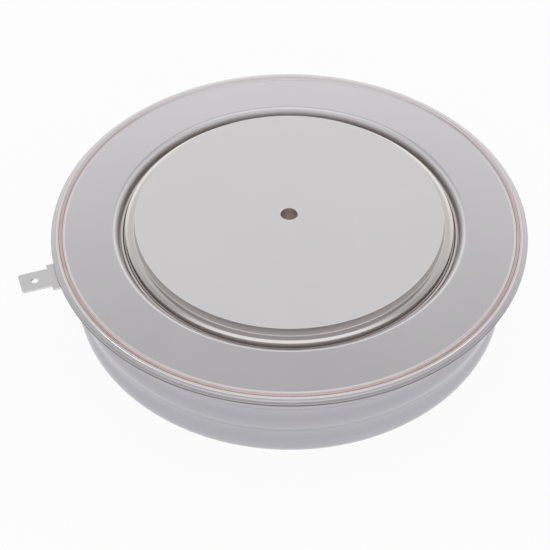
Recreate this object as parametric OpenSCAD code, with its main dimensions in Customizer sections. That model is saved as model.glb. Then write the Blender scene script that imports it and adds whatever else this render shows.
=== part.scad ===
// Disc thyristor in a press-pack housing, in millimetres.
// Origin: centre of the lower, anode contact face. +Z runs up to the cathode face, and the auxiliary
// cathode tab points along -X.

/* [Poles] */
// Diameter of each contact face
pole_d = 64; // [50:1:80]
// Height of the lower, anode pole
anode_pole_h = 10; // [8:0.5:14]
// Height of the upper, cathode pole
cathode_pole_h = 11.2; // [10.6:0.2:16]
// Radius of the edge round each contact face
face_round = 0.5; // [0.2:0.05:0.7]
// Height that the cathode face stands above its flange
cathode_stand = 1.25; // [0.5:0.05:3]
// Height that the anode face stands below its flange
anode_stand = 3.5; // [1:0.1:4]
// Width of the ledge round each contact face
ledge_w = 2.4; // [1.8:0.1:3]
// Depth of the ledge behind the flange's outer face
ledge_sink = 1.25; // [1:0.05:1.6]
// Radius of the ledge's outer edge
ledge_round = 0.5; // [0.2:0.05:0.7]
// Width of the small step at the foot of the wall above the ledge
step_w = 0.5; // [0.2:0.05:0.7]
// Height of that step above the ledge
step_h = 1; // [0.4:0.05:1.2]
// Diameter of the centring hole in each contact face
centring_d = 3.5; // [2.5:0.1:5]
// Depth of each centring hole
centring_depth = 3.5; // [2:0.1:4]
// Chamfer on the mouth of each centring hole
centring_chamfer = 0.2; // [0.1:0.05:0.4]

/* [Flanges] */
// Thickness of the flange sheets
sheet_t = 0.4; // [0.3:0.05:0.7]
// Inside radius of the bend where a flange turns into its groove
bend_in = 0.9; // [0.1:0.05:1.2]
// Clear width of the groove round each pole
groove_w = 0.5; // [0.4:0.05:1.2]
// Straight height of the lip that is brazed to the pole
lip_h = 0.8; // [0.4:0.05:1.5]
// Depth of the lip's edge behind the ledge
lip_below = 0.6; // [0.4:0.05:0.9]
// Room between a flange's groove and the pieces behind it
trough_clear = 0.25; // [0.15:0.05:0.5]

/* [Rim] */
// Reach of the rim beyond the ceramic's ribs
rim_overhang = 3.6; // [2.8:0.1:5]
// Distance that the lid's edge stays back from the rim's edge
lid_setback = 0.4; // [0.1:0.05:0.6]
// Distance of the pressed weld line from the rim's edge
weld_inset = 2.15; // [1.9:0.05:2.6]
// Width of the pressed weld line
weld_w = 0.9; // [0.6:0.05:1]
// Depth of the pressed weld line in each sheet
weld_depth = 0.2; // [0.1:0.02:0.24]
// Distance of the raised bead from the rim's edge
bead_inset = 1.35; // [1.3:0.05:1.5]
// Width of the raised bead
bead_w = 0.56; // [0.4:0.02:0.6]
// Height of the raised bead
bead_h = 0.2; // [0.1:0.02:0.26]
// Height that the weld ring steps up from the ceramic to the rim
ring_step = 1.25; // [0.9:0.05:1.6]

/* [Ceramic] */
// Room between the flanges' grooves and the ceramic's bore
cavity_gap = 3.25; // [2.7:0.05:5]
// Wall of the ceramic at a rib's crest
ceramic_wall = 6.4; // [5.6:0.1:9]
// Number of ribs
rib_count = 3; // [2:1:5]
// Depth of the valleys between ribs
rib_depth = 0.9; // [0.4:0.05:1.4]
// Chamfer on the outer edges of the ceramic's ends
end_chamfer = 1.1; // [0.6:0.05:1.5]
// Distance of the brazed metal from the edges of the ceramic's end faces
braze_inset = 0.5; // [0.2:0.05:0.8]

/* [Auxiliary cathode tab] */
// Width of the blade
tab_w = 4.8; // [2.8:0.1:6.3]
// Thickness of the blade
tab_t = 0.5; // [0.4:0.1:0.8]
// Reach of the blade beyond the rim's edge
tab_reach = 7.3; // [6:0.1:10]
// Width of the blade's shoulder
tab_shoulder_w = 6.9; // [6.4:0.1:9]
// Reach of the shoulder beyond the rim's edge
tab_shoulder_l = 1.4; // [1:0.1:2]
// Length of the tab's root under the rim
tab_root = 1.5; // [1:0.1:1.6]
// Diameter of the hole in the blade
tab_hole_d = 1.5; // [1:0.1:2]
// Distance of that hole from the blade's tip
tab_hole_in = 2.95; // [2:0.05:3.5]
// Chamfer on the corners of a blade's tip
tip_chamfer = 0.35; // [0.1:0.05:0.5]

/* [Wafer stack] */
// Reach of the wafer beyond the contact face
wafer_margin = 2; // [1.5:0.1:2.4]
// Thickness of the silicon wafer
wafer_t = 0.8; // [0.5:0.05:1.4]
// Width of the bevel on the wafer's edge
bevel_w = 1.5; // [1:0.1:2]
// Thickness of the anode's molybdenum disc
anode_moly_t = 2.4; // [1.5:0.1:4]
// Distance of the anode pole's inner face from the wafer's edge
anode_inset = 1; // [0.8:0.05:1.4]
// Thickness of the cathode's molybdenum disc
cathode_moly_t = 1.6; // [1.2:0.1:2.4]
// Distance of the cathode's molybdenum disc from the wafer's edge
cathode_inset = 4; // [3.6:0.1:6]
// Reach of the cathode pole beyond its molybdenum disc
body_margin = 1; // [0.5:0.1:1.5]
// Width of the rubber bead on the wafer's top face
coat_w = 1.5; // [0.8:0.1:1.6]
// Thickness of the rubber bead
coat_t = 0.7; // [0.4:0.05:0.9]
// Clearance of the centring ring round the stack and in the ceramic
ring_gap = 0.15; // [0.05:0.05:0.3]

/* [Gate] */
// Angle between the auxiliary tab and the gate terminal
gate_angle = 60; // [30:5:150]
// Height of the gate lead above the cathode pole's inner face
gate_rise = 1.65; // [1.4:0.05:2.2]
// Diameter of the gate pin's tip
pin_d = 2.4; // [1.6:0.1:3]
// Wall of the insulating sleeve round the tip
pin_sleeve_wall = 1.5; // [0.8:0.1:1.8]
// Height of that sleeve above the cathode's molybdenum disc
pin_sleeve_rise = 0.4; // [0.2:0.05:0.5]
// Diameter of the gate pin's head
head_d = 6.4; // [6:0.1:8]
// Thickness of the gate pin's head
head_t = 1.6; // [1.3:0.1:1.8]
// Diameter of the spigot on which the spring sits
spigot_d = 3.6; // [2.5:0.1:4]
// Height of that spigot
spigot_h = 0.8; // [0.4:0.1:1.2]
// Wire of the gate spring
spring_wire = 0.6; // [0.4:0.05:0.7]
// Outer diameter of the gate spring
spring_d = 5.8; // [5.4:0.1:6.2]
// Turns of the gate spring
spring_turns = 2.5; // [1.5:0.25:3]
// Wall of the insulating bush
bush_wall = 1.6; // [1:0.1:2.5]
// Height of the bush's bore
bush_bore_h = 5.4; // [5:0.1:5.8]
// Thickness of the bush's closed end
bush_top = 0.7; // [0.5:0.05:1]
// Diameter of the gate lead
lead_d = 0.8; // [0.5:0.05:1]
// Depth of the gate lead in the pin's head
lead_grip = 1.8; // [1:0.1:2.2]
// Outer diameter of the insulation on the gate lead
lead_sleeve_d = 1.8; // [1.6:0.1:2]
// Outer diameter of the feedthrough tube
tube_d = 2.5; // [2.2:0.1:3.2]
// Bore of the feedthrough tube
tube_bore = 1.5; // [1.3:0.05:1.7]
// Length of the tube inside the ceramic's bore
tube_inside = 0.5; // [0.3:0.1:1.5]
// Length of the tube outside the valley of the ribs
tube_outside = 2.1; // [1.5:0.1:4]
// Width of the gate's blade
blade_w = 2.8; // [2.8:0.1:4.8]
// Thickness of the gate's blade
blade_t = 0.5; // [0.4:0.05:0.6]
// Length of the gate's blade beyond its tube
blade_l = 6.4; // [5.5:0.1:8]
// Width of the blade's tongue in the tube
tongue_w = 1.2; // [0.8:0.05:1.3]
// Length of the blade's tongue in the tube
tongue_l = 2; // [1:0.1:3]
// Diameter of the hole in the gate's blade
blade_hole_d = 1.2; // [0.8:0.1:1.4]
// Distance of that hole from the blade's tip
blade_hole_in = 2.4; // [1.5:0.1:3]

/* [Clearances] */
// Gap that the brazing alloy fills round a cylindrical joint
braze_gap = 0.05; // [0.02:0.01:0.1]
// Slip clearance between the small gate pieces
slip = 0.1; // [0.05:0.01:0.2]

/* [Hidden] */
$fn = 96;

// Colours
nickel = [0.80, 0.79, 0.78];
glaze = [0.80, 0.80, 0.84];
molybdenum = [0.50, 0.50, 0.52];
silicon = [0.30, 0.32, 0.38];
rubber = [0.62, 0.26, 0.20];
insulator = [0.93, 0.93, 0.90];
silver = [0.86, 0.86, 0.85];
steel = [0.62, 0.62, 0.63];

// Heights, from the anode face upwards
anode_moly_z = anode_pole_h;
wafer_z = anode_moly_z + anode_moly_t;
cathode_moly_z = wafer_z + wafer_t;
cathode_pole_z = cathode_moly_z + cathode_moly_t;
overall_h = cathode_pole_z + cathode_pole_h;
lid_z = overall_h - cathode_stand;
rim_z = lid_z - 2 * sheet_t;
ceramic_top = rim_z - ring_step;
ceramic_z = anode_stand + sheet_t;
ceramic_h = ceramic_top - ceramic_z;

// Radii, from the contact face outwards
pole_r = pole_d / 2;
collar_r = pole_r + ledge_w;
lip_r = collar_r + braze_gap;
groove_r = lip_r + sheet_t;
wall_r = groove_r + groove_w;
flat_r = wall_r + sheet_t + bend_in;
bore_r = wall_r + sheet_t + cavity_gap;
crest_r = bore_r + ceramic_wall;
valley_r = crest_r - rib_depth;
rim_r = crest_r + rim_overhang;
lid_r = rim_r - lid_setback;
end_r = valley_r - end_chamfer;
braze_r = end_r - braze_inset;

// The flange's groove, as depths behind the flange's outer face
bend_out = bend_in + sheet_t;
lip_edge = ledge_sink + lip_below;
turn_depth = lip_edge + lip_h;
trough_depth = turn_depth + groove_w / 2 + sheet_t;
collar_h = trough_depth - ledge_sink + trough_clear;

// The stack inside
wafer_r = pole_r + wafer_margin;
wafer_top_r = wafer_r - bevel_w;
cathode_moly_r = wafer_r - cathode_inset;
anode_body_r = wafer_r - anode_inset;
cathode_body_r = cathode_moly_r + body_margin;

// The gate
gate_z = cathode_pole_z + gate_rise;
pin_sleeve_r = pin_d / 2 + slip + pin_sleeve_wall;
bush_bore_r = head_d / 2 + 2 * slip;
bush_r = bush_bore_r + bush_wall;
recess_r = bush_r + slip;
recess_h = bush_bore_h + bush_top + slip;
channel_w = lead_sleeve_d + 2 * slip;
bush_slot_w = lead_d + 4 * slip;
tube_end_r = valley_r + tube_outside;

// Reach of a cut beyond the face it opens, and the hair by which the ceramic's arcs cross
cut = 1;
arc_overlap = 0.002;

// Flat outline of a quarter of a bent strip, in the quarter that the signs side and up point to
module bend_quarter(centre, inside, side, up) {
    outside = inside + sheet_t;
    translate(centre)
        intersection() {
            difference() {
                circle(outside);
                circle(inside);
            }
            translate([side < 0 ? -outside : 0, up < 0 ? -outside : 0])
                square(outside);
        }
}

// Flat outline of a flange: the lip on the pole, the groove, the bend and the flat annulus.
// The outer face lies at height 0, and the groove runs down behind it.
module flange_profile(outer_r) {
    turn_r = groove_r + groove_w / 2;
    translate([flat_r, -sheet_t])
        square([outer_r - flat_r, sheet_t]);
    bend_quarter([flat_r, -bend_out], bend_in, -1, 1);
    translate([wall_r, -turn_depth])
        square([sheet_t, turn_depth - bend_out]);
    bend_quarter([turn_r, -turn_depth], groove_w / 2, 1, -1);
    bend_quarter([turn_r, -turn_depth], groove_w / 2, -1, -1);
    translate([lip_r, -turn_depth])
        square([sheet_t, lip_h]);
}

// Flat outline of a pole, with its contact face at height 0 and its body above
module pole_profile(h, stand, body_r) {
    ledge_z = stand + ledge_sink;
    step_r = pole_r + step_w;
    polygon([
        [0, 0],
        [pole_r - face_round, 0],
        [pole_r, face_round],
        [pole_r, ledge_z - step_h],
        [step_r, ledge_z - step_h],
        [step_r, ledge_z],
        [collar_r - ledge_round, ledge_z],
        [collar_r, ledge_z + ledge_round],
        [collar_r, ledge_z + collar_h],
        [body_r, ledge_z + collar_h],
        [body_r, h],
        [0, h]
    ]);
    translate([pole_r - face_round, face_round])
        circle(face_round);
    translate([collar_r - ledge_round, ledge_z + ledge_round])
        circle(ledge_round);
}

// A pole with its contact face at height 0, drilled for the centring pin
module pole(h, stand, body_r) {
    difference() {
        rotate_extrude()
            pole_profile(h, stand, body_r);
        translate([0, 0, -cut])
            cylinder(d = centring_d, h = centring_depth + cut);
        cylinder(d1 = centring_d + 2 * centring_chamfer, d2 = centring_d, h = centring_chamfer);
    }
}

// Segment of a circle that stands a given height on a line of a given width, used for the weld line
module segment(w, h) {
    r = (w * w / 4 + h * h) / (2 * h);
    intersection() {
        translate([0, h - r])
            circle(r);
        translate([-w / 2, 0])
            square([w, h]);
    }
}

// Flat outline of the ceramic from height 0, a wave of equal arcs for the rib crests and the valleys.
// Neighbouring arcs cross by a hair, so that no sliver is left where they meet.
module ribbed_profile() {
    pitch = ceramic_h / rib_count;
    half = pitch / 2;
    arc_r = (rib_depth * rib_depth + half * half) / (4 * rib_depth);
    difference() {
        union() {
            translate([bore_r, 0])
                square([ceramic_wall - rib_depth / 2, ceramic_h]);
            for (i = [0 : rib_count - 1])
                translate([crest_r - arc_r, (i + 0.5) * pitch])
                    circle(arc_r + arc_overlap);
        }
        for (i = [0 : rib_count])
            translate([valley_r + arc_r, i * pitch])
                circle(arc_r + arc_overlap);
    }
}

// Children that lie along +X, turned to the gate's direction and raised to its height
module along_gate() {
    rotate(180 - gate_angle)
        translate([0, 0, gate_z])
            children();
}

// Rod along +X between two radii
module radial_rod(d, from, to) {
    translate([from, 0, 0])
        rotate([0, 90, 0])
            cylinder(d = d, h = to - from);
}

// Flat outline of a blade along +X, from its root to its tip, with chamfered corners
module blade_outline(w, from, to) {
    polygon([
        [from, -w / 2],
        [to - tip_chamfer, -w / 2],
        [to, -w / 2 + tip_chamfer],
        [to, w / 2 - tip_chamfer],
        [to - tip_chamfer, w / 2],
        [from, w / 2]
    ]);
}

module ceramic_housing() {
    reach = crest_r - end_r + cut;
    color(glaze)
        difference() {
            translate([0, 0, ceramic_z])
                rotate_extrude()
                    intersection() {
                        ribbed_profile();
                        polygon([
                            [bore_r, 0],
                            [end_r, 0],
                            [end_r + reach, reach],
                            [end_r + reach, ceramic_h - reach],
                            [end_r, ceramic_h],
                            [bore_r, ceramic_h]
                        ]);
                    }
            along_gate()
                radial_rod(tube_d + 2 * braze_gap, bore_r - cut, crest_r + cut);
        }
}

module cathode_pole() {
    color(nickel)
        difference() {
            translate([0, 0, overall_h])
                mirror([0, 0, 1])
                    pole(cathode_pole_h, cathode_stand, cathode_body_r);
            translate([0, 0, cathode_pole_z - cut])
                cylinder(r = recess_r, h = recess_h + cut);
            along_gate() {
                radial_rod(channel_w, 0, collar_r + cut);
                translate([0, -channel_w / 2, -gate_rise - cut])
                    cube([collar_r + cut, channel_w, gate_rise + cut]);
            }
        }
}

module anode_pole() {
    color(nickel)
        pole(anode_pole_h, anode_stand, anode_body_r);
}

module cathode_flange() {
    color(nickel)
        translate([0, 0, lid_z])
            rotate_extrude()
                difference() {
                    union() {
                        flange_profile(lid_r);
                        translate([rim_r - bead_inset, 0])
                            segment(bead_w, bead_h);
                    }
                    translate([rim_r - weld_inset, 0])
                        mirror([0, 1])
                            segment(weld_w, weld_depth);
                }
}

module weld_ring() {
    bend = (ring_step - sheet_t) / 2;
    step_r = braze_r + 2 * bend + sheet_t;
    color(nickel)
        translate([0, 0, ceramic_top])
            rotate_extrude()
                difference() {
                    union() {
                        translate([bore_r + braze_inset, 0])
                            square([braze_r - bore_r - braze_inset, sheet_t]);
                        bend_quarter([braze_r, sheet_t + bend], bend, 1, -1);
                        bend_quarter([step_r, sheet_t + bend], bend, -1, 1);
                        translate([step_r, ring_step])
                            square([rim_r - step_r, sheet_t]);
                    }
                    translate([rim_r - weld_inset, ring_step])
                        segment(weld_w, weld_depth);
                }
}

module anode_flange() {
    color(nickel)
        translate([0, 0, anode_stand])
            mirror([0, 0, 1])
                rotate_extrude()
                    flange_profile(braze_r);
}

module aux_cathode_tab() {
    tip = rim_r + tab_reach;
    color(nickel)
        rotate(180)
            translate([0, 0, rim_z - tab_t])
                linear_extrude(tab_t)
                    difference() {
                        union() {
                            blade_outline(tab_w, rim_r, tip);
                            translate([rim_r - tab_root, -tab_shoulder_w / 2])
                                square([tab_root + tab_shoulder_l, tab_shoulder_w]);
                        }
                        translate([tip - tab_hole_in, 0])
                            circle(d = tab_hole_d);
                    }
}

module silicon_wafer() {
    color(silicon)
        translate([0, 0, wafer_z])
            cylinder(r1 = wafer_r, r2 = wafer_top_r, h = wafer_t);
}

module anode_moly_disc() {
    color(molybdenum)
        translate([0, 0, anode_moly_z])
            cylinder(r = wafer_r, h = anode_moly_t);
}

module cathode_moly_disc() {
    color(molybdenum)
        translate([0, 0, cathode_moly_z])
            difference() {
                cylinder(r = cathode_moly_r, h = cathode_moly_t);
                translate([0, 0, -cut])
                    cylinder(r = pin_sleeve_r + slip, h = cathode_moly_t + 2 * cut);
            }
}

module junction_coating() {
    inner_r = wafer_top_r - coat_w;
    color(rubber)
        rotate_extrude()
            polygon([
                [wafer_r, wafer_z],
                [wafer_top_r, cathode_moly_z],
                [inner_r, cathode_moly_z],
                [inner_r, cathode_moly_z + coat_t / 2],
                [wafer_top_r - coat_w / 2, cathode_moly_z + coat_t],
                [wafer_top_r, cathode_moly_z + coat_t],
                [wafer_r, wafer_z + coat_t]
            ]);
}

module centring_ring() {
    seat_z = anode_stand + ledge_sink + collar_h;
    color(insulator)
        rotate_extrude()
            polygon([
                [anode_body_r + ring_gap, seat_z],
                [bore_r - ring_gap, seat_z],
                [bore_r - ring_gap, wafer_z - ring_gap],
                [wafer_r + ring_gap, wafer_z - ring_gap],
                [wafer_r + ring_gap, anode_moly_z - ring_gap],
                [anode_body_r + ring_gap, anode_moly_z - ring_gap]
            ]);
}

module gate_pin() {
    head_z = gate_z - head_t / 2;
    color(silver)
        difference() {
            union() {
                translate([0, 0, cathode_moly_z])
                    cylinder(d = pin_d, h = head_z - cathode_moly_z);
                translate([0, 0, head_z])
                    cylinder(d = head_d, h = head_t);
                translate([0, 0, head_z + head_t])
                    cylinder(d = spigot_d, h = spigot_h);
            }
            along_gate()
                radial_rod(lead_d + 2 * braze_gap, head_d / 2 - lead_grip, head_d / 2 + cut);
        }
}

module gate_pin_sleeve() {
    color(insulator)
        translate([0, 0, cathode_moly_z])
            difference() {
                cylinder(r = pin_sleeve_r, h = cathode_moly_t + pin_sleeve_rise);
                translate([0, 0, -cut])
                    cylinder(d = pin_d + 2 * slip, h = cathode_moly_t + pin_sleeve_rise + 2 * cut);
            }
}

// Coil swept round +Z between the pin's head and the bush's closed end
module gate_spring() {
    sides = 8;
    rings = round(24 * spring_turns);
    wire_r = spring_wire / 2;
    mean_r = spring_d / 2 - wire_r;
    low = gate_z + head_t / 2 + wire_r;
    high = cathode_pole_z + bush_bore_h - wire_r;
    points = [for (i = [0 : rings]) for (j = [0 : sides - 1])
        let (turn = 360 * spring_turns * i / rings,
             round_wire = 360 * j / sides,
             r = mean_r + wire_r * cos(round_wire),
             z = low + (high - low) * i / rings + wire_r * sin(round_wire))
        [r * cos(turn), r * sin(turn), z]];
    walls = [for (i = [0 : rings - 1]) for (j = [0 : sides - 1])
        let (next = (j + 1) % sides)
        [i * sides + j, i * sides + next, (i + 1) * sides + next, (i + 1) * sides + j]];
    start = [for (j = [sides - 1 : -1 : 0]) j];
    end = [for (j = [0 : sides - 1]) rings * sides + j];
    color(steel)
        polyhedron(points, concat(walls, [start, end]));
}

module gate_bush() {
    color(insulator)
        difference() {
            translate([0, 0, cathode_pole_z])
                cylinder(r = bush_r, h = bush_bore_h + bush_top);
            translate([0, 0, cathode_pole_z - cut])
                cylinder(r = bush_bore_r, h = bush_bore_h + cut);
            along_gate()
                translate([0, -bush_slot_w / 2, -gate_rise - cut])
                    cube([bush_r + cut, bush_slot_w, gate_rise + cut + bush_slot_w / 2]);
        }
}

module gate_lead() {
    color(silver)
        along_gate()
            radial_rod(lead_d, head_d / 2 - lead_grip, tube_end_r - tongue_l - slip);
}

module gate_lead_sleeve() {
    from = recess_r + slip;
    to = bore_r - tube_inside - slip;
    color(insulator)
        along_gate()
            difference() {
                radial_rod(lead_sleeve_d, from, to);
                radial_rod(lead_d + 2 * slip, from - cut, to + cut);
            }
}

module gate_tube() {
    color(nickel)
        along_gate()
            difference() {
                radial_rod(tube_d, bore_r - tube_inside, tube_end_r);
                radial_rod(tube_bore, bore_r - tube_inside - cut, tube_end_r + cut);
            }
}

module gate_blade() {
    tip = tube_end_r + blade_l;
    color(nickel)
        along_gate()
            translate([0, 0, -blade_t / 2])
                linear_extrude(blade_t)
                    difference() {
                        union() {
                            blade_outline(blade_w, tube_end_r, tip);
                            translate([tube_end_r - tongue_l, -tongue_w / 2])
                                square([tongue_l, tongue_w]);
                        }
                        translate([tip - blade_hole_in, 0])
                            circle(d = blade_hole_d);
                    }
}

ceramic_housing();
cathode_pole();
anode_pole();
cathode_flange();
weld_ring();
anode_flange();
aux_cathode_tab();
silicon_wafer();
anode_moly_disc();
cathode_moly_disc();
junction_coating();
centring_ring();
gate_pin();
gate_pin_sleeve();
gate_spring();
gate_bush();
gate_lead();
gate_lead_sleeve();
gate_tube();
gate_blade();
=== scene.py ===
# %% [markdown]
# # Dressing a disc thyristor
# The solids of this part come ready made, at their real size, so this lesson is about looks: a camera
# that stands where the photographer stood, plain studio light, and a finish for every surface. The turned
# and pressed metal is spun again from its outlines, with finer and smoother curves than the solids carry,
# and a few small shapes that only a close look shows are added. Everything is in metres, with +Z up and
# the origin in the middle of the lower contact face.

# %% Load the solids
import math
import bpy
from mathutils import Matrix, Vector


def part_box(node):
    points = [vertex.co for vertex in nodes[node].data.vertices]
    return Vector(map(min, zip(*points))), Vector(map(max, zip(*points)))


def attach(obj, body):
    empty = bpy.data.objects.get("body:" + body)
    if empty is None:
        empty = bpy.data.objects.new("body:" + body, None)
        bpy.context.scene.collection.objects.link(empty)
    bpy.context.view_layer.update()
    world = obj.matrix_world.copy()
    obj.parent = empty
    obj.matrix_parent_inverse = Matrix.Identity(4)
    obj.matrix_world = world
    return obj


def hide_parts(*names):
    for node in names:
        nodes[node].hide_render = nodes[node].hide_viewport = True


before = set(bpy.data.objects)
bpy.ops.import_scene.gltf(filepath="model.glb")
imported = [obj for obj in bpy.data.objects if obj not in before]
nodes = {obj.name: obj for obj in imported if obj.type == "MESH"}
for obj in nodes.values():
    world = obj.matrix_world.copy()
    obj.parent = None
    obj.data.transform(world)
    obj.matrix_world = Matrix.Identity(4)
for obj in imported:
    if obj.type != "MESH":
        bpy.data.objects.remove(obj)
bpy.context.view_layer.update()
MM = 0.001

# %% [markdown]
# ## Reading the main sizes
# Outlines and finishes need radii and heights. Those that a box round a solid can tell are read from it,
# so they follow if the part changes.

# %% Measure the solids
collar_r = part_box("cathode_pole")[1].x
face_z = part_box("cathode_pole")[1].z
cathode_body_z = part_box("cathode_pole")[0].z
anode_body_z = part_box("anode_pole")[1].z
lid_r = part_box("cathode_flange")[1].x
bead_top_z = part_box("cathode_flange")[1].z
rim_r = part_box("weld_ring")[1].x
rim_top_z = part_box("weld_ring")[1].z
ceramic_top_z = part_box("weld_ring")[0].z
braze_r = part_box("anode_flange")[1].x
anode_flange_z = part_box("anode_flange")[0].z
gate_z = (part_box("gate_tube")[0].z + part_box("gate_tube")[1].z) / 2
print(f"rim radius {rim_r / MM:.2f} mm, lid radius {lid_r / MM:.2f} mm, height {face_z / MM:.2f} mm")

# %% [markdown]
# ## The camera
# The photo was taken from above and close by: the near side of the rim is clearly wider than the far
# side. A camera that merely points at the middle would miss that, so the distance, the height and the
# point that the lens looks at were worked out from the ellipses of the rim, the contact face and the
# hole. The lens follows from the distance. A last small roll levels the rim as the photo has it.

# %% Place the camera
CAMERA_DISTANCE = 273.6 * MM
CAMERA_ELEVATION = math.radians(43.47)
CAMERA_HEADING = math.radians(250.8)
CAMERA_ROLL = math.radians(-0.344)
CAMERA_LENS = 86.43
CLIP_START = 0.01
CLIP_END = 20
AIM = Vector((-7.89 * MM, -14.33 * MM, rim_top_z))


def around(radius, angle, height):
    """The point at a radius and an angle round the Z axis, at a height."""
    return Vector((radius * math.cos(angle), radius * math.sin(angle), height))


camera_place = around(
    CAMERA_DISTANCE * math.cos(CAMERA_ELEVATION),
    CAMERA_HEADING,
    AIM.z + CAMERA_DISTANCE * math.sin(CAMERA_ELEVATION),
)
camera_data = bpy.data.cameras.new("camera")
camera_data.lens = CAMERA_LENS
camera_data.clip_start = CLIP_START
camera_data.clip_end = CLIP_END
camera = bpy.data.objects.new("camera", camera_data)
bpy.context.scene.collection.objects.link(camera)
look = (AIM - camera_place).to_track_quat("-Z", "Y")
camera.rotation_mode = "QUATERNION"
camera.rotation_quaternion = look @ Matrix.Rotation(CAMERA_ROLL, 4, "Z").to_quaternion()
camera.location = camera_place
bpy.context.scene.camera = camera
print(f"camera stands {[round(c / MM, 1) for c in camera_place]} mm from the origin")

# %% [markdown]
# ## Spinning an outline
# A lathe turns a bar, a press draws a sheet, and both give shapes that a half outline describes fully.
# Blender's Spin sweeps such an outline round an axis. The outline starts as a circle of as many vertices
# as it needs, and each vertex is moved to its radius and height. Where the outline begins and ends on the
# axis, the edge that closes it there is deleted first, or the spin would leave a needle of faces inside.
# Smooth shading by angle keeps crisp edges crisp. A Weighted Normal modifier then lets wide flat faces
# win over the narrow faces of a rounding beside them, so that flats look flat right up to their edge.

# %% Define the spinning tools
SPIN_STEPS = 256
SHARP = math.radians(30)
ON_AXIS = 1e-9
MERGE_WITHIN = 1e-7


def arc(centre, radius, start, end, steps=6):
    """Points of an arc in an outline, from one angle in degrees to another."""
    points = []
    for step in range(steps + 1):
        angle = math.radians(start + (end - start) * step / steps)
        points.append((centre[0] + radius * math.cos(angle), centre[1] + radius * math.sin(angle)))
    return points


def crown(centre, width, height, base, side, steps=8):
    """A low arc over a chord, from its outer to its inner end. Side 1 adds its height, -1 takes it away."""
    radius = (width * width / 4 + height * height) / (2 * height)
    half = math.asin(width / 2 / radius)
    points = []
    for step in range(steps + 1):
        angle = half * (1 - 2 * step / steps)
        rise = height - radius + radius * math.cos(angle)
        points.append((centre + radius * math.sin(angle), base + side * rise))
    return points


def smooth(piece):
    """Smooth shading that keeps sharp edges, with flat faces kept flat."""
    bpy.ops.object.select_all(action="DESELECT")
    piece.select_set(True)
    bpy.context.view_layer.objects.active = piece
    bpy.ops.object.shade_smooth_by_angle(angle=SHARP)
    bpy.ops.object.modifier_add(type="WEIGHTED_NORMAL")
    piece.modifiers[-1].keep_sharp = True
    bpy.ops.object.modifier_apply(modifier=piece.modifiers[-1].name)


def select_points(piece, test):
    """Goes to edit mode with only those vertices selected whose place passes a test."""
    bpy.ops.object.mode_set(mode="EDIT")
    bpy.ops.mesh.select_mode(type="VERT")
    bpy.ops.mesh.select_all(action="DESELECT")
    bpy.ops.object.mode_set(mode="OBJECT")
    for vertex in piece.data.vertices:
        vertex.select = test(vertex.co)
    bpy.ops.object.mode_set(mode="EDIT")


def spin_outline(name, outline):
    """A new piece, spun from an outline of (radius, height) points."""
    bpy.ops.object.select_all(action="DESELECT")
    bpy.ops.mesh.primitive_circle_add(vertices=len(outline))
    piece = bpy.context.object
    piece.name = name
    for vertex, (radius, height) in zip(piece.data.vertices, outline):
        vertex.co = (radius, 0, height)
    select_points(piece, lambda point: point.x < ON_AXIS)
    if outline[0][0] < ON_AXIS:
        bpy.ops.mesh.delete(type="EDGE")
    bpy.ops.mesh.select_all(action="SELECT")
    bpy.ops.mesh.spin(steps=SPIN_STEPS, angle=math.tau, center=(0, 0, 0), axis=(0, 0, 1))
    bpy.ops.mesh.select_all(action="SELECT")
    bpy.ops.mesh.remove_doubles(threshold=MERGE_WITHIN)
    bpy.ops.mesh.normals_make_consistent(inside=False)
    bpy.ops.object.mode_set(mode="OBJECT")
    return piece


def take_place(piece, node):
    """Smooths a piece, hangs it under the root body and lets it stand for a solid, which it hides."""
    smooth(piece)
    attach(piece, "root")
    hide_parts(node)
    print(f"{piece.name} stands for {node}, {len(piece.data.polygons)} faces")

# %% [markdown]
# ## The flange sheets
# Both flanges are drawn from thin sheet. From outside to inside their section runs flat, rolls over a
# wide bend into a narrow groove, turns round at its bottom and ends in a lip that is brazed to the pole.
# The outline is written as radius and depth behind the outer face, so one function serves both: the upper
# flange hangs down from its face and the lower one stands up from it.

# %% Outline of a flange
SHEET = 0.4 * MM
BRAZE_GAP = 0.05 * MM
GROOVE_W = 0.5 * MM
BEND_IN = 0.9 * MM
LIP_EDGE = 1.85 * MM
LIP_H = 0.8 * MM
BEND_OUT = BEND_IN + SHEET
TURN_DEPTH = LIP_EDGE + LIP_H
lip_r = collar_r + BRAZE_GAP
groove_r = lip_r + SHEET
wall_r = groove_r + GROOVE_W
flat_r = wall_r + BEND_OUT


def flange_outline(outer_r, face):
    """Radius and depth of a flange's section. The face is given as points from its edge inwards."""
    turn = (groove_r + GROOVE_W / 2, TURN_DEPTH)
    return [
        *face,
        *arc((flat_r, BEND_OUT), BEND_OUT, -90, -180, 10),
        *arc(turn, GROOVE_W / 2, 0, 180, 8),
        (groove_r, LIP_EDGE),
        (lip_r, LIP_EDGE),
        *arc(turn, GROOVE_W / 2 + SHEET, 180, 0, 8),
        *arc((flat_r, BEND_OUT), BEND_IN, -180, -90, 8),
        (outer_r, SHEET),
    ]

# %% [markdown]
# The lid's edge is welded to the sheet below it by a pressed groove. A raised bead runs outside the
# groove, and the press has thrown up a lower ridge inside it. All three are arcs over a chord. Outside
# the bead the sheet falls off a little to its edge.

# %% Spin the flanges
WELD_INSET = 2.0 * MM
WELD_W = 0.7 * MM
WELD_DEPTH = 0.2 * MM
BEAD_INSET = 1.35 * MM
BEAD_W = 0.56 * MM
BEAD_H = 0.2 * MM
RIDGE_INSET = 2.6 * MM
RIDGE_W = 0.5 * MM
RIDGE_H = 0.15 * MM
EDGE_FALL = 0.04 * MM
EDGE_STEPS = 8
lid_z = bead_top_z - BEAD_H
weld_r = rim_r - WELD_INSET
bead_r = rim_r - BEAD_INSET
ridge_r = rim_r - RIDGE_INSET
land_r = bead_r + BEAD_W / 2
land_w = lid_r - land_r

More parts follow.
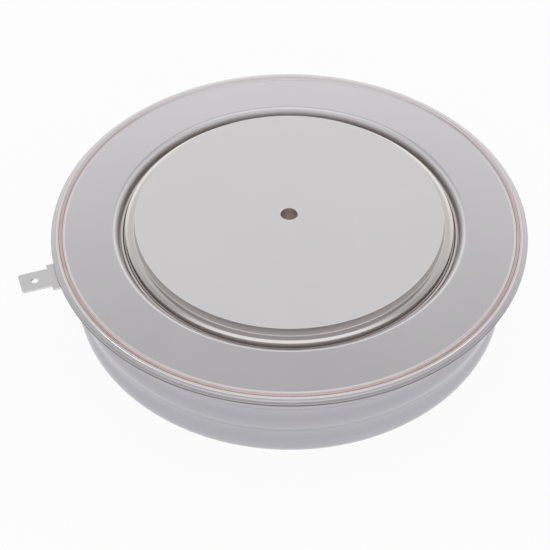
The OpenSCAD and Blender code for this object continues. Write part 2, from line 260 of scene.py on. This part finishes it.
lid_face = [
    *crown(land_r, 2 * land_w, EDGE_FALL, EDGE_FALL, -1, 2 * EDGE_STEPS)[:EDGE_STEPS],
    *crown(bead_r, BEAD_W, BEAD_H, 0, -1),
    *crown(weld_r, WELD_W, WELD_DEPTH, 0, 1),
    *crown(ridge_r, RIDGE_W, RIDGE_H, 0, -1)[1:],
]
lid_section = [(r, lid_z - depth) for r, depth in flange_outline(lid_r, lid_face)]
lid_sheet = spin_outline("lid_sheet", lid_section)
take_place(lid_sheet, "cathode_flange")

lower_section = [(r, anode_flange_z + depth) for r, depth in flange_outline(braze_r, [(braze_r, 0)])]
lower_sheet = spin_outline("lower_sheet", lower_section)
take_place(lower_sheet, "anode_flange")

# %% [markdown]
# ## The rim sheet
# Under the lid lies a second sheet. It is brazed on the ceramic, steps up through a double bend and runs
# out to the rim, where the lid is welded to it. The weld presses its groove into this sheet from below.

# %% Spin the rim sheet
RING_INNER = 39.5 * MM
RIM_ROUND = 0.08 * MM
RING_STEP = rim_top_z - ceramic_top_z - SHEET
step_bend = (RING_STEP - SHEET) / 2
low_bend = (braze_r, ceramic_top_z + SHEET + step_bend)
high_bend = (braze_r + 2 * step_bend + SHEET, low_bend[1])
rim_low_z = ceramic_top_z + RING_STEP

rim_section = [
    (RING_INNER, ceramic_top_z),
    *arc(low_bend, step_bend + SHEET, -90, 0),
    *arc(high_bend, step_bend, 180, 90),
    *reversed(crown(weld_r, WELD_W, WELD_DEPTH, rim_low_z, 1)),
    (rim_r, rim_low_z),
    *arc((rim_r - RIM_ROUND, rim_top_z - RIM_ROUND), RIM_ROUND, 0, 90),
    *arc(high_bend, step_bend + SHEET, 90, 180),
    *arc(low_bend, step_bend, 0, -90),
    (RING_INNER, ceramic_top_z + SHEET),
]
rim_sheet = spin_outline("rim_sheet", rim_section)
take_place(rim_sheet, "weld_ring")

# %% [markdown]
# ## The poles
# Each pole is turned from copper bar: a contact face with a centring hole, a low wall with a rounded
# foot, a ledge just below the flange's level that slopes off a little towards its edge, a steep neck, the
# collar that the flange's lip is brazed to, and the body behind it. Again one outline, as depth behind
# the contact face, serves both.

# %% Outline of a pole
LEDGE_W = 2.4 * MM
FACE_ROUND = 0.12 * MM
FACE_DRAFT = 0.2 * MM
FOOT_ROUND = 0.22 * MM
LEDGE_DROP = 0.58 * MM
SLOPE_W = 0.68 * MM
SLOPE_TILT = 10
SLOPE_ROUND = 1.2 * MM
NECK_IN = 0.5 * MM
NECK_H = 1.3 * MM
TROUGH_CLEAR = 0.25 * MM
HOLE_R = 1.75 * MM
HOLE_DEPTH = 3.5 * MM
HOLE_CHAMFER = 0.2 * MM
pole_r = collar_r - LEDGE_W
collar_end = TURN_DEPTH + GROOVE_W / 2 + SHEET + TROUGH_CLEAR


def pole_outline(stand, body_r, inner_face):
    """Radius and depth of a pole's section. The inner face is given as points from its edge to the axis."""
    ledge = stand + LEDGE_DROP
    top_r = pole_r - FACE_DRAFT
    neck_r = collar_r - NECK_IN
    slope_r = neck_r - SLOPE_W
    tilt = math.radians(SLOPE_TILT)
    slope_start = slope_r - SLOPE_ROUND * math.sin(tilt) / 2
    slope_end = ledge + SLOPE_W * math.tan(tilt)
    return [
        (0, HOLE_DEPTH),
        (HOLE_R, HOLE_DEPTH),
        (HOLE_R, HOLE_CHAMFER),
        (HOLE_R + HOLE_CHAMFER, 0),
        *arc((top_r - FACE_ROUND, FACE_ROUND), FACE_ROUND, -90, -5),
        *arc((pole_r + FOOT_ROUND, ledge - FOOT_ROUND), FOOT_ROUND, 175, 90, 8),
        *arc((slope_start, ledge + SLOPE_ROUND), SLOPE_ROUND, -90, SLOPE_TILT - 90, 4),
        (neck_r, slope_end),
        (collar_r, ledge + NECK_H),
        (collar_r, stand + collar_end),
        (body_r, stand + collar_end),
        *inner_face,
    ]

# %% [markdown]
# The upper pole has a recess for the gate's insulating bush on its inner side, and a channel for the
# gate's wire that runs from the recess to the edge. The recess is round the axis and so part of the
# outline. The channel is cut afterwards: a bar with a round back, as a ball cutter leaves it, is taken
# away with a Boolean modifier.

# %% Spin the poles
CATHODE_BODY_R = 31 * MM
ANODE_BODY_R = 33 * MM
RECESS_R = 5.1 * MM
RECESS_H = 6.2 * MM
cathode_h = face_z - cathode_body_z

lower_pole_section = pole_outline(
    anode_flange_z, ANODE_BODY_R, [(ANODE_BODY_R, anode_body_z), (0, anode_body_z)],
)
lower_pole = spin_outline("lower_pole", lower_pole_section)
take_place(lower_pole, "anode_pole")

upper_pole_depths = pole_outline(face_z - lid_z, CATHODE_BODY_R, [
    (CATHODE_BODY_R, cathode_h),
    (RECESS_R, cathode_h),
    (RECESS_R, cathode_h - RECESS_H),
    (0, cathode_h - RECESS_H),
])
upper_pole = spin_outline("upper_pole", [(r, face_z - depth) for r, depth in upper_pole_depths])

# %% Cut the wire's channel
GATE_HEADING = math.radians(120)
CHANNEL_W = 2.0 * MM
OVERCUT = 1 * MM
BACK_ROUND = 0.98 * CHANNEL_W / 2
channel_reach = collar_r + OVERCUT
channel_low_z = cathode_body_z - OVERCUT
channel_top_z = gate_z + CHANNEL_W / 2
channel_h = channel_top_z - channel_low_z

bpy.ops.object.select_all(action="DESELECT")
bpy.ops.mesh.primitive_cube_add(
    size=1,
    location=around(channel_reach / 2, GATE_HEADING, channel_low_z + channel_h / 2),
    rotation=(0, 0, GATE_HEADING),
    scale=(channel_reach, CHANNEL_W, channel_h),
)
bar = bpy.context.object
bpy.ops.object.transform_apply(location=True, rotation=True, scale=True)
select_points(bar, lambda point: point.z > gate_z)
bpy.ops.mesh.bevel(offset=BACK_ROUND, segments=10, affect="EDGES")
bpy.ops.object.mode_set(mode="OBJECT")

bpy.ops.object.select_all(action="DESELECT")
bpy.context.view_layer.objects.active = upper_pole
bpy.ops.object.modifier_add(type="BOOLEAN")
upper_pole.modifiers[-1].object = bar
upper_pole.modifiers[-1].operation = "DIFFERENCE"
upper_pole.modifiers[-1].solver = "EXACT"
bpy.ops.object.modifier_apply(modifier=upper_pole.modifiers[-1].name)
bpy.data.objects.remove(bar)
take_place(upper_pole, "cathode_pole")

# %% [markdown]
# ## Node helpers
# Materials are built from nodes. A few short helpers keep the cells below readable: they place a node and
# set its inputs, mix colours, make a fresh material, and make a node group with named sockets.

# %% Define the node helpers
def place(tree, kind, settings=None, **inputs):
    """A new node in a tree. Inputs are set by socket name, with _ for a space, and a socket is linked."""
    node = tree.nodes.new(kind)
    for key, value in (settings or {}).items():
        setattr(node, key, value)
    for key, value in inputs.items():
        wanted = key.replace("_", " ")
        socket = next(s for s in node.inputs if s.name == wanted and s.enabled)
        if isinstance(value, bpy.types.NodeSocket):
            tree.links.new(value, socket)
        else:
            socket.default_value = value
    return node


def math_node(tree, operation, first, second):
    """A Math node of two values, each a number or a socket, and its result."""
    node = tree.nodes.new("ShaderNodeMath")
    node.operation = operation
    for socket, value in zip(node.inputs, (first, second)):
        if isinstance(value, bpy.types.NodeSocket):
            tree.links.new(value, socket)
        else:
            socket.default_value = value
    return node.outputs[0]


def mix_colour(tree, factor, first, second):
    """A Mix node of two colours, each a colour or a socket, and its result."""
    node = tree.nodes.new("ShaderNodeMix")
    node.data_type = "RGBA"
    for index, value in ((0, factor), (6, first), (7, second)):
        if isinstance(value, bpy.types.NodeSocket):
            tree.links.new(value, node.inputs[index])
        else:
            node.inputs[index].default_value = value
    return node.outputs[2]


def new_material(name):
    """A material with its Principled shader."""
    material = bpy.data.materials.new(name)
    material.use_nodes = True
    tree = material.node_tree
    return material, tree, tree.nodes["Principled BSDF"]


def new_group(name, inputs, outputs):
    """An empty node group with named sockets, and its two end nodes."""
    tree = bpy.data.node_groups.new(name, "ShaderNodeTree")
    for socket, kind, value in inputs:
        made = tree.interface.new_socket(name=socket, in_out="INPUT", socket_type=kind)
        made.default_value = value
    for socket, kind in outputs:
        tree.interface.new_socket(name=socket, in_out="OUTPUT", socket_type=kind)
    return tree, tree.nodes.new("NodeGroupInput"), tree.nodes.new("NodeGroupOutput")


def use_group(tree, group, **inputs):
    """A node group placed in a material, with its inputs set by name."""
    return place(tree, "ShaderNodeGroup", {"node_tree": group}, **inputs)


def dress(material, *objects):
    """Gives solids, by their names, and new pieces a material."""
    for wearer in objects:
        wearer = nodes[wearer] if isinstance(wearer, str) else wearer
        wearer.data.materials.clear()
        wearer.data.materials.append(material)
        print(f"{material.name} on {wearer.name}")


FLOAT = "NodeSocketFloat"

# %% [markdown]
# ## Shared effects
# Nearly everything here was turned on a lathe, so many finishes depend on the distance from the axis. The
# first group measures it from Object coordinates. The second turns it into a soft-edged ring mask. The
# third makes the faint concentric marks of a turning tool, and the fourth the slow clouds and fine grain
# of electroplating.

# %% Group: distance from the axis
axis_group, _, axis_out = new_group("distance from axis", [], [("Radius", FLOAT)])
axis_coords = place(axis_group, "ShaderNodeTexCoord")
axis_parts = place(axis_group, "ShaderNodeSeparateXYZ", Vector=axis_coords.outputs["Object"])
axis_flat = place(axis_group, "ShaderNodeCombineXYZ", X=axis_parts.outputs["X"], Y=axis_parts.outputs["Y"])
axis_length = place(axis_group, "ShaderNodeVectorMath", {"operation": "LENGTH"})
axis_group.links.new(axis_flat.outputs[0], axis_length.inputs[0])
axis_group.links.new(axis_length.outputs["Value"], axis_out.inputs["Radius"])

# %% Group: ring mask
ring_group, ring_in, ring_out = new_group(
    "ring mask",
    [("Value", FLOAT, 0.0), ("From", FLOAT, 0.0), ("To", FLOAT, 1.0), ("Soft", FLOAT, 0.1 * MM)],
    [("Mask", FLOAT)],
)
rise_end = math_node(ring_group, "ADD", ring_in.outputs["From"], ring_in.outputs["Soft"])
fall_start = math_node(ring_group, "SUBTRACT", ring_in.outputs["To"], ring_in.outputs["Soft"])
ring_rise = place(
    ring_group, "ShaderNodeMapRange", {"interpolation_type": "SMOOTHSTEP"},
    Value=ring_in.outputs["Value"], From_Min=ring_in.outputs["From"], From_Max=rise_end,
)
ring_fall = place(
    ring_group, "ShaderNodeMapRange", {"interpolation_type": "SMOOTHSTEP"},
    Value=ring_in.outputs["Value"], From_Min=ring_in.outputs["To"], From_Max=fall_start,
)
ring_both = math_node(ring_group, "MULTIPLY", ring_rise.outputs[0], ring_fall.outputs[0])
ring_group.links.new(ring_both, ring_out.inputs["Mask"])

# %% Group: turning marks
turned_group, turned_in, turned_out = new_group(
    "turning marks",
    [("Spacing", FLOAT, 0.2 * MM), ("Wander", FLOAT, 0.3)],
    [("Mark", FLOAT)],
)
turned_axis = use_group(turned_group, axis_group)
turned_coords = place(turned_group, "ShaderNodeTexCoord")
turned_sway = place(
    turned_group, "ShaderNodeTexNoise", Vector=turned_coords.outputs["Object"], Scale=40.0, Detail=1.0,
)
turned_count = math_node(turned_group, "DIVIDE", turned_axis.outputs["Radius"], turned_in.outputs["Spacing"])
turned_shift = math_node(turned_group, "MULTIPLY", turned_sway.outputs[0], turned_in.outputs["Wander"])
turned_phase = math_node(turned_group, "ADD", turned_count, turned_shift)
turned_noise = place(
    turned_group, "ShaderNodeTexNoise", {"noise_dimensions": "1D"}, W=turned_phase, Scale=1.0, Detail=3.0,
)
turned_group.links.new(turned_noise.outputs[0], turned_out.inputs["Mark"])

# %% Group: plating clouds and grain
plating_group, plating_in, plating_out = new_group(
    "plating",
    [("Cloud Scale", FLOAT, 60.0), ("Grain Scale", FLOAT, 9000.0)],
    [("Cloud", FLOAT), ("Grain", FLOAT)],
)
plating_coords = place(plating_group, "ShaderNodeTexCoord")
plating_cloud = place(
    plating_group, "ShaderNodeTexNoise",
    Vector=plating_coords.outputs["Object"], Scale=plating_in.outputs["Cloud Scale"],
    Detail=4.0, Roughness=0.6,
)
plating_grain = place(
    plating_group, "ShaderNodeTexNoise",
    Vector=plating_coords.outputs["Object"], Scale=plating_in.outputs["Grain Scale"], Detail=2.0,
)
plating_group.links.new(plating_cloud.outputs[0], plating_out.inputs["Cloud"])
plating_group.links.new(plating_grain.outputs[0], plating_out.inputs["Grain"])
print("shared groups:", [g.name for g in bpy.data.node_groups])

# %% [markdown]
# ## Nickel on the contact poles
# The poles are turned copper with a nickel plate. The contact face is lapped: almost white, satin, and so
# fine that the turning marks only show as a breath of change in gloss. The wall and the ledge are as the
# lathe left them: the ledge glossier and a little warmer, the walls dull. The walls also get a colour much
# darker than the nickel round them, which is painted shade. In the centring hole the plate is thin and
# the copper shows through. A metal's colour is the colour of its reflections, so Metallic is 1. Masks by
# radius choose between these finishes, and BEYOND lets a mask run on past the edge of a piece.

# %% Finish: plated poles
GRAIN_DEPTH = 0.01 * MM
BEYOND = 2 * MM
TURN_SOFT = 0.05 * MM
WALL_SOFT = 0.03 * MM
BORE_SOFT = 0.1 * MM
wall_start_r = pole_r - FACE_DRAFT - 0.02 * MM
wall_end_r = pole_r + 0.12 * MM

pole_material, tree, shader = new_material("plated_pole")
axis = use_group(tree, axis_group)
marks = use_group(tree, turned_group, Spacing=0.18 * MM, Wander=0.4)
plating = use_group(tree, plating_group, Cloud_Scale=45.0, Grain_Scale=7000.0)
turned = use_group(
    tree, ring_group,
    Value=axis.outputs["Radius"], From=wall_start_r, To=collar_r + BEYOND, Soft=TURN_SOFT,
)
walls = use_group(
    tree, ring_group,
    Value=axis.outputs["Radius"], From=wall_start_r, To=wall_end_r, Soft=WALL_SOFT,
)
bored = use_group(
    tree, ring_group,
    Value=axis.outputs["Radius"], From=-BEYOND, To=HOLE_R + BORE_SOFT, Soft=BORE_SOFT,
)
lapped_colour = mix_colour(tree, plating.outputs["Cloud"], (0.77, 0.757, 0.76, 1), (0.81, 0.797, 0.80, 1))
turned_colour = mix_colour(tree, marks.outputs["Mark"], (0.74, 0.71, 0.685, 1), (0.80, 0.775, 0.755, 1))
bored_colour = mix_colour(tree, plating.outputs["Cloud"], (0.72, 0.665, 0.63, 1), (0.78, 0.725, 0.69, 1))
# Painted shade: the low walls between the contact face and the ledge get a colour far darker than the
# nickel.
wall_shade_colour = mix_colour(tree, plating.outputs["Cloud"], (0.44, 0.42, 0.41, 1), (0.52, 0.50, 0.49, 1))
pole_colour = mix_colour(tree, turned.outputs["Mask"], lapped_colour, turned_colour)
pole_colour = mix_colour(tree, walls.outputs["Mask"], pole_colour, wall_shade_colour)
pole_colour = mix_colour(tree, bored.outputs["Mask"], pole_colour, bored_colour)
tree.links.new(pole_colour, shader.inputs["Base Color"])
shader.inputs["Metallic"].default_value = 1.0

# %% Gloss and marks of the poles
TURNED_SHINE = 0.33
WALL_DULL = 0.2

lapped_gloss = place(tree, "ShaderNodeMapRange", Value=marks.outputs["Mark"], To_Min=0.40, To_Max=0.47)
turned_gloss = math_node(tree, "MULTIPLY", turned.outputs["Mask"], TURNED_SHINE)
wall_gloss = math_node(tree, "MULTIPLY", walls.outputs["Mask"], WALL_DULL)
pole_gloss = math_node(tree, "SUBTRACT", lapped_gloss.outputs[0], turned_gloss)
pole_gloss = math_node(tree, "ADD", pole_gloss, wall_gloss)
tree.links.new(pole_gloss, shader.inputs["Roughness"])
pole_relief = math_node(tree, "ADD", marks.outputs["Mark"], plating.outputs["Grain"])
pole_bump = place(tree, "ShaderNodeBump", Strength=0.08, Distance=GRAIN_DEPTH, Height=pole_relief)
tree.links.new(pole_bump.outputs[0], shader.inputs["Normal"])
dress(pole_material, "cathode_pole", "anode_pole", upper_pole, lower_pole)

# %% [markdown]
# ## Nickel on the flange sheets
# The sheets are smoother than the poles and mirror the studio a little more. Heat from the brazing has
# warmed the colour in the groove round the pole, and that colour is also lighter than the sheet, a painted
# highlight on the groove's wall. Near the rim the press has squeezed the two sheets together, and copper
# shows through the plate in that line, in blotches and on one side more than on the other. The outermost
# edge is where the shears cut the rim: it is rough, and its near-black colour is painted shade.

# %% Finish: plated sheets
WELD_HEADING = math.radians(250)
HEAT_FROM = lip_r - BEYOND
HEAT_SOFT = 0.2 * MM
ROLL_SOFT = 0.6 * MM
CUT_SOFT = 0.03 * MM

sheet_material, tree, shader = new_material("plated_sheet")
plating = use_group(tree, plating_group, Cloud_Scale=35.0, Grain_Scale=6000.0)
blotches = use_group(tree, plating_group, Cloud_Scale=160.0, Grain_Scale=900.0)
axis = use_group(tree, axis_group)
# This ring carries the brazing's warm tint and a painted highlight on the groove's wall.
heat_and_highlight = use_group(
    tree, ring_group,
    Value=axis.outputs["Radius"], From=HEAT_FROM, To=wall_r + 0.1 * MM, Soft=HEAT_SOFT,
)
rolled = use_group(
    tree, ring_group,
    Value=axis.outputs["Radius"], From=HEAT_FROM, To=flat_r - ROLL_SOFT / 2, Soft=ROLL_SOFT,
)
welded = use_group(
    tree, ring_group,
    Value=axis.outputs["Radius"], From=weld_r - 0.5 * MM, To=weld_r + 0.6 * MM, Soft=HEAT_SOFT,
)
heat_coords = place(tree, "ShaderNodeTexCoord")
heat_turn = place(tree, "ShaderNodeVectorMath", {"operation": "DOT_PRODUCT"})
tree.links.new(heat_coords.outputs["Object"], heat_turn.inputs[0])
heat_turn.inputs[1].default_value = around(1 / rim_r, WELD_HEADING, 0)
heat_share = place(
    tree, "ShaderNodeMapRange", {"interpolation_type": "SMOOTHSTEP"},
    Value=heat_turn.outputs["Value"], From_Min=-0.9, From_Max=0.1, To_Min=0.2, To_Max=0.85,
)
weld_tint = math_node(tree, "MULTIPLY", welded.outputs["Mask"], heat_share.outputs[0])
# Painted shade: this ring makes the rim's outer edge near black. It also makes the cut edge rougher.
cut_edge_and_shade = use_group(
    tree, ring_group,
    Value=axis.outputs["Radius"], From=rim_r - 0.05 * MM, To=rim_r + BEYOND, Soft=CUT_SOFT,
)
sheet_colour = mix_colour(tree, plating.outputs["Cloud"], (0.725, 0.708, 0.725, 1), (0.76, 0.748, 0.76, 1))
# Painted highlight: besides being warmer, this colour is lighter than the sheet round it.
heat_and_highlight_colour = mix_colour(tree, blotches.outputs["Cloud"], (0.74, 0.70, 0.68, 1), (0.80, 0.765, 0.75, 1))
welded_colour = mix_colour(tree, blotches.outputs["Cloud"], (0.54, 0.38, 0.345, 1), (0.71, 0.575, 0.535, 1))
# Painted shade on the rim's outer edge.
rim_edge_shade_colour = mix_colour(tree, blotches.outputs["Cloud"], (0.16, 0.155, 0.15, 1), (0.26, 0.25, 0.245, 1))
sheet_mixed = mix_colour(tree, heat_and_highlight.outputs["Mask"], sheet_colour, heat_and_highlight_colour)
sheet_mixed = mix_colour(tree, weld_tint, sheet_mixed, welded_colour)
sheet_mixed = mix_colour(tree, cut_edge_and_shade.outputs["Mask"], sheet_mixed, rim_edge_shade_colour)
tree.links.new(sheet_mixed, shader.inputs["Base Color"])
shader.inputs["Metallic"].default_value = 1.0

# %% Gloss and grain of the sheets
CUT_DULL = 0.2
ROLL_DULL = 0.26

sheet_gloss = place(tree, "ShaderNodeMapRange", Value=plating.outputs["Cloud"], To_Min=0.19, To_Max=0.27)
cut_gloss = math_node(tree, "MULTIPLY", cut_edge_and_shade.outputs["Mask"], CUT_DULL)
drawn_gloss = math_node(tree, "MULTIPLY", rolled.outputs["Mask"], ROLL_DULL)
sheet_gloss = math_node(tree, "ADD", sheet_gloss.outputs[0], cut_gloss)
sheet_gloss = math_node(tree, "ADD", sheet_gloss, drawn_gloss)
tree.links.new(sheet_gloss, shader.inputs["Roughness"])
sheet_bump = place(
    tree, "ShaderNodeBump",
    Strength=0.05, Distance=GRAIN_DEPTH, Height=plating.outputs["Grain"],
)
tree.links.new(sheet_bump.outputs[0], shader.inputs["Normal"])
dress(sheet_material, "cathode_flange", "weld_ring", "anode_flange", lid_sheet, rim_sheet, lower_sheet)

# %% [markdown]
# ## Tin on the blades
# The push-on blades and the feedthrough tube have a matt tin plate, a little darker than nickel.

# %% Finish: plated blades
blade_material, tree, shader = new_material("plated_blade")
plating = use_group(tree, plating_group, Cloud_Scale=150.0, Grain_Scale=5000.0)
blade_colour = mix_colour(tree, plating.outputs["Cloud"], (0.69, 0.68, 0.68, 1), (0.75, 0.74, 0.74, 1))
tree.links.new(blade_colour, shader.inputs["Base Color"])
shader.inputs["Metallic"].default_value = 1.0
gloss = place(tree, "ShaderNodeMapRange", Value=plating.outputs["Cloud"], To_Min=0.36, To_Max=0.46)
tree.links.new(gloss.outputs[0], shader.inputs["Roughness"])
bump = place(tree, "ShaderNodeBump", Strength=0.1, Distance=GRAIN_DEPTH, Height=plating.outputs["Grain"])
tree.links.new(bump.outputs[0], shader.inputs["Normal"])
dress(blade_material, "aux_cathode_tab", "gate_tube", "gate_blade")

# %% [markdown]
# ## Glazed ceramic
# The housing is alumina under a clear glaze: a faintly lavender body with soft gloss. The glaze pulls
# into long shallow waves as it melts, which shows only where a highlight bends, so it is a very weak
# bump.

# %% Finish: glazed alumina
WAVE_DEPTH = 0.1 * MM

ceramic_material, tree, shader = new_material("glazed_alumina")
plating = use_group(tree, plating_group, Cloud_Scale=70.0, Grain_Scale=2500.0)
ceramic_colour = mix_colour(
    tree, plating.outputs["Cloud"], (0.455, 0.446, 0.485, 1), (0.495, 0.486, 0.526, 1),
)
tree.links.new(ceramic_colour, shader.inputs["Base Color"])
gloss = place(tree, "ShaderNodeMapRange", Value=plating.outputs["Cloud"], To_Min=0.26, To_Max=0.34)
tree.links.new(gloss.outputs[0], shader.inputs["Roughness"])
shader.inputs["Coat Weight"].default_value = 0.6
shader.inputs["Coat Roughness"].default_value = 0.15
bump = place(tree, "ShaderNodeBump", Strength=0.12, Distance=WAVE_DEPTH, Height=plating.outputs["Cloud"])
tree.links.new(bump.outputs[0], shader.inputs["Normal"])
dress(ceramic_material, "ceramic_housing")

# %% [markdown]
# ## The sealed stack
# Inside lie the silicon wafer, its molybdenum discs, the rubber bead on its bevel, the insulators and the
# gate contact. They only show in a cutaway, but each still gets the finish that it has on the bench. They
# share one recipe: two close tones mixed by clouds, a gloss range and a fine grain.

# %% Finish: inner pieces
INNER_FINISHES = {
    "silicon": ((0.16, 0.17, 0.20), (0.21, 0.22, 0.26), 0.8, (0.18, 0.26), 3000.0),
    "molybdenum": ((0.38, 0.38, 0.40), (0.46, 0.46, 0.48), 1.0, (0.34, 0.46), 5000.0),
    "silicone_rubber": ((0.36, 0.09, 0.07), (0.46, 0.14, 0.10), 0.0, (0.55, 0.68), 2000.0),
    "insulator": ((0.80, 0.80, 0.77), (0.88, 0.88, 0.85), 0.0, (0.40, 0.52), 1500.0),
    "silver_contact": ((0.76, 0.75, 0.72), (0.86, 0.85, 0.83), 1.0, (0.20, 0.32), 6000.0),
    "spring_steel": ((0.40, 0.40, 0.41), (0.50, 0.50, 0.51), 1.0, (0.24, 0.36), 8000.0),
}
INNER_NODES = {
    "silicon": ["silicon_wafer"],
    "molybdenum": ["anode_moly_disc", "cathode_moly_disc"],
    "silicone_rubber": ["junction_coating"],
    "insulator": ["centring_ring", "gate_pin_sleeve", "gate_bush", "gate_lead_sleeve"],
    "silver_contact": ["gate_pin", "gate_lead"],
    "spring_steel": ["gate_spring"],
}
for finish, (dark, light, metal, gloss_range, grain_scale) in INNER_FINISHES.items():
    material, tree, shader = new_material(finish)
    plating = use_group(tree, plating_group, Cloud_Scale=120.0, Grain_Scale=grain_scale)
    colour = mix_colour(tree, plating.outputs["Cloud"], (*dark, 1), (*light, 1))
    tree.links.new(colour, shader.inputs["Base Color"])
    shader.inputs["Metallic"].default_value = metal
    gloss = place(
        tree, "ShaderNodeMapRange",
        Value=plating.outputs["Cloud"], To_Min=gloss_range[0], To_Max=gloss_range[1],
    )
    tree.links.new(gloss.outputs[0], shader.inputs["Roughness"])
    bump = place(tree, "ShaderNodeBump", Strength=0.1, Distance=GRAIN_DEPTH, Height=plating.outputs["Grain"])
    tree.links.new(bump.outputs[0], shader.inputs["Normal"])
    dress(material, *INNER_NODES[finish])

# %% [markdown]
# ## The studio
# The disc stands on its lower contact face on a white sweep. The floor is plain white paint, and to the
# camera and to reflections it glows a little, as a lit sweep does, so that the shadow stays soft and
# pale.

# %% Lay the floor
FLOOR_SIDE = 6.0
FLOOR_GLOW = 0.92

bpy.ops.object.select_all(action="DESELECT")
bpy.ops.mesh.primitive_plane_add(size=FLOOR_SIDE, location=(0, 0, 0))
floor = bpy.context.object
floor.name = "floor"
floor_material, tree, shader = new_material("floor")
tree.nodes.remove(shader)
paint = place(tree, "ShaderNodeBsdfDiffuse", Color=(0.95, 0.95, 0.95, 1))
glow = place(tree, "ShaderNodeEmission", Color=(1, 1, 1, 1), Strength=1.0)
rays = place(tree, "ShaderNodeLightPath")
seen = math_node(tree, "MAXIMUM", rays.outputs["Is Camera Ray"], rays.outputs["Is Glossy Ray"])
seen = math_node(tree, "MAXIMUM", seen, rays.outputs["Is Transmission Ray"])
share = math_node(tree, "MULTIPLY", seen, FLOOR_GLOW)
floor_mix = place(tree, "ShaderNodeMixShader", Fac=share)
tree.links.new(paint.outputs[0], floor_mix.inputs[1])
tree.links.new(glow.outputs[0], floor_mix.inputs[2])
tree.links.new(floor_mix.outputs[0], tree.nodes["Material Output"].inputs["Surface"])
floor.data.materials.append(floor_material)

# %% [markdown]
# ## Light
# A photo tent gives light from all round: white walls low down, and a darker opening overhead. Flat metal
# that faces up mirrors the wall behind it, so its far side looks light and its near side, which mirrors
# higher up, looks darker. The world is that tent: white near the horizon and greyer above, with a light
# panel straight overhead. Slopes and roundings that lean towards the camera mirror that panel.

# %% Build the tent
WALL_TOP = 0.49
WALL_WHITE = 1.0
CEILING_FROM = 0.84
CEILING_GREY = 0.42
PANEL_FROM = 0.83
PANEL_FULL = 0.91
PANEL_LIGHT = 0.55

world = bpy.data.worlds.new("tent")
bpy.context.scene.world = world
world.use_nodes = True
tree = world.node_tree
background = tree.nodes["Background"]
direction = place(tree, "ShaderNodeTexCoord")
parts = place(tree, "ShaderNodeSeparateXYZ", Vector=direction.outputs["Generated"])
fade = place(
    tree, "ShaderNodeMapRange", {"interpolation_type": "SMOOTHSTEP"},
    Value=parts.outputs["Z"],
    From_Min=WALL_TOP, From_Max=CEILING_FROM, To_Min=WALL_WHITE, To_Max=CEILING_GREY,
)
panel = place(
    tree, "ShaderNodeMapRange", {"interpolation_type": "SMOOTHSTEP"},
    Value=parts.outputs["Z"],
    From_Min=PANEL_FROM, From_Max=PANEL_FULL, To_Min=0.0, To_Max=PANEL_LIGHT,
)
tent_light = math_node(tree, "ADD", fade.outputs[0], panel.outputs[0])
tree.links.new(tent_light, background.inputs["Color"])
background.inputs["Strength"].default_value = 1.0
bpy.context.scene.view_settings.view_transform = "Standard"
print(f"tent from {WALL_WHITE} at the walls to {CEILING_GREY} overhead")

# %% [markdown]
# Two strip lights lie low, left and right of the camera. In this view they are too low for the flat metal
# to mirror them, but every rounded edge that faces half towards them carries a thin bright line, and the
# ceramic gets its streaks.

# %% Stand the strip lights
STRIP_SIZE = (0.35, 0.12)
STRIP_DISTANCE = 0.75
STRIP_ELEVATION = math.radians(4)
STRIPS = {"strip_left": (math.radians(180.8), 1.5), "strip_right": (math.radians(-39.2), 1.2)}

for name, (heading, radiance) in STRIPS.items():
    strip_data = bpy.data.lights.new(name, "AREA")
    strip_data.shape = "RECTANGLE"
    strip_data.size, strip_data.size_y = STRIP_SIZE
    strip_data.energy = math.pi * STRIP_SIZE[0] * STRIP_SIZE[1] * radiance
    strip_light = bpy.data.objects.new(name, strip_data)
    bpy.context.scene.collection.objects.link(strip_light)
    level = STRIP_DISTANCE * math.cos(STRIP_ELEVATION)
    strip_light.location = around(level, heading, face_z + STRIP_DISTANCE * math.sin(STRIP_ELEVATION))
    aim = Vector((0, 0, face_z)) - strip_light.location
    strip_light.rotation_euler = aim.to_track_quat("-Z", "Y").to_euler()
    strip_light.visible_camera = False
    print(f"{name} at {[round(c, 2) for c in strip_light.location]} m")
